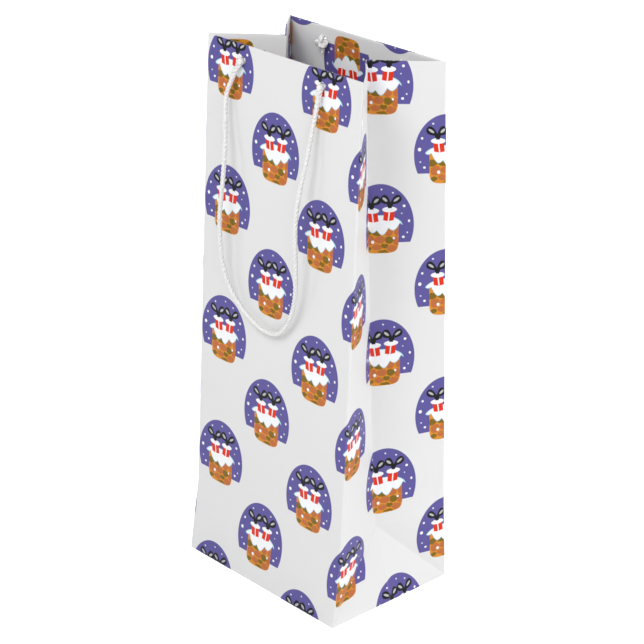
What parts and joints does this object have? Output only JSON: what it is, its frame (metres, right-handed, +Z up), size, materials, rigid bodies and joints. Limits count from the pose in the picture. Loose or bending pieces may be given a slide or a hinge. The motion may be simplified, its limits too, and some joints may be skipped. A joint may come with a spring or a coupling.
{
  "type": "wine gift bag",
  "caption": "Tall pleated paper bottle bag with an all-over festive print, a turned-in hem, a folded base with a board, and knotted cord handles.",
  "frame": {"origin": "centre of the base, on the surface the bag stands on", "axes": "+Z up, +X to the right along the front panel, -Y out of the front panel"},
  "size_m": [0.134, 0.0996, 0.34],
  "materials": {
    "printed_paper": "satin laminate over an all-over print",
    "plain_paper": "matt, uncoated reverse of the sheet",
    "rim_card": "matt",
    "base_board": "matt, white-lined",
    "cord": "soft twisted yarn"
  },
  "bodies": {
    "base": {"front_base_flap": "printed_paper", "rear_base_flap": "printed_paper", "left_base_flap": "plain_paper", "right_base_flap": "plain_paper", "base_board": "base_board", "right_gusset_foot": "printed_paper", "left_gusset_foot": "printed_paper", "right_gusset_front": "printed_paper", "right_gusset_rear": "printed_paper", "left_gusset_front": "printed_paper", "left_gusset_rear": "printed_paper", "right_gusset_front_hem": "printed_paper", "right_gusset_rear_hem": "printed_paper", "left_gusset_front_hem": "printed_paper", "left_gusset_rear_hem": "printed_paper"},
    "front_wall": {"front_panel": "printed_paper", "front_hem": "printed_paper", "front_rim_card": "rim_card", "front_left_knot": "cord", "front_right_knot": "cord"},
    "rear_wall": {"rear_panel": "printed_paper", "rear_hem": "printed_paper", "rear_rim_card": "rim_card", "seam_tab": "plain_paper", "rear_left_knot": "cord", "rear_right_knot": "cord"},
    "front_handle": {"front_cord": "cord"},
    "rear_handle": {"rear_cord": "cord"}
  },
  "joints": [
    {"name": "front_mouth", "type": "hinge", "parent": "base", "child": "front_wall", "pos_m": [0, -0.049, 0], "axis": [-1, 0, 0], "range_deg": [-1.5, 2.5], "stiffness_Nm_per_rad": 0.06, "deforming": ["right_gusset_front", "left_gusset_front", "right_gusset_front_hem", "left_gusset_front_hem"]},
    {"name": "rear_mouth", "type": "hinge", "parent": "base", "child": "rear_wall", "pos_m": [0, 0.049, 0], "axis": [1, 0, 0], "range_deg": [-1.5, 2.5], "stiffness_Nm_per_rad": 0.06, "deforming": ["right_gusset_rear", "left_gusset_rear", "right_gusset_rear_hem", "left_gusset_rear_hem"]},
    {"name": "front_swing", "type": "hinge", "parent": "front_wall", "child": "front_handle", "pos_m": [0, -0.03536, 0.33], "axis": [-1, 0, 0], "range_deg": [0, 170]},
    {"name": "rear_swing", "type": "hinge", "parent": "rear_wall", "child": "rear_handle", "pos_m": [0, 0.03547, 0.33], "axis": [1, 0, 0], "range_deg": [0, 170]}
  ],
  "couplings": [
    {"joint": "rear_mouth", "follows": "front_mouth", "ratio": 1}
  ]
}
